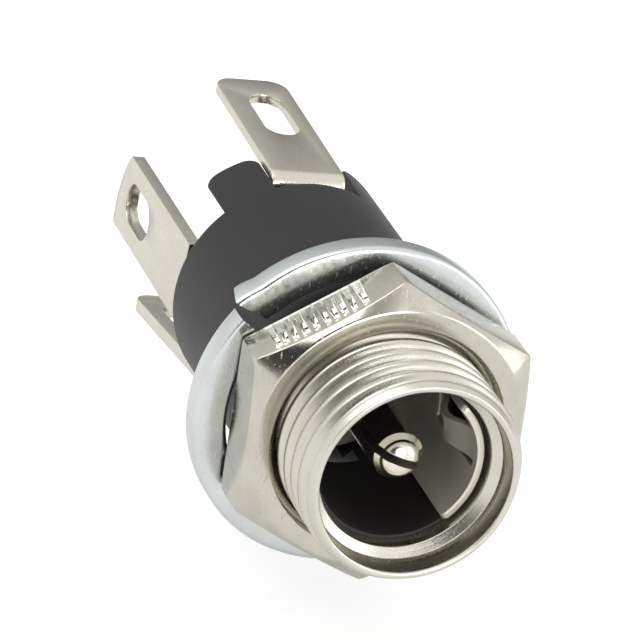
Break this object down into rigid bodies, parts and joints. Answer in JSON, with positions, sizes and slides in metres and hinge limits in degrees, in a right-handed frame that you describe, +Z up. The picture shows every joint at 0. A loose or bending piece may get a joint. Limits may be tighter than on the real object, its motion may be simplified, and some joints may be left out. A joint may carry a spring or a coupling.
{
  "type": "dc barrel jack",
  "caption": "Panel-mount dc power socket: threaded metal bushing with hex nut and split washer, black moulded body, split centre pin and flat solder lugs at the rear.",
  "frame": {"origin": "on the jack's axis, in the plane of the body's shoulder where the front panel seats", "axes": "-Y out of the mouth along the jack's axis, +Z up towards the centre pin's lug, +X to the right seen from the front"},
  "size_m": [0.0168, 0.0327, 0.0168],
  "materials": {
    "nickel_plate": "bright nickel plating",
    "nut_plate": "bright nickel plating, lightly scuffed",
    "zinc_plate": "bright zinc plating, rolled and bent",
    "black_moulding": "fine matt moulding",
    "board_moulding": "matt moulding",
    "pin_plate": "bright nickel plating",
    "lug_tin": "satin tin plating",
    "spring_sheet": "plated spring sheet"
  },
  "bodies": {
    "root": {"threaded_bushing": "nickel_plate", "hex_nut": "nut_plate", "lock_washer": "zinc_plate", "body_housing": "black_moulding", "terminal_board": "board_moulding", "centre_pin": "pin_plate", "pin_lug": "lug_tin", "sleeve_spring": "spring_sheet", "sleeve_lug": "lug_tin", "switch_spring": "spring_sheet", "switch_lug": "lug_tin"}
  },
  "joints": []
}
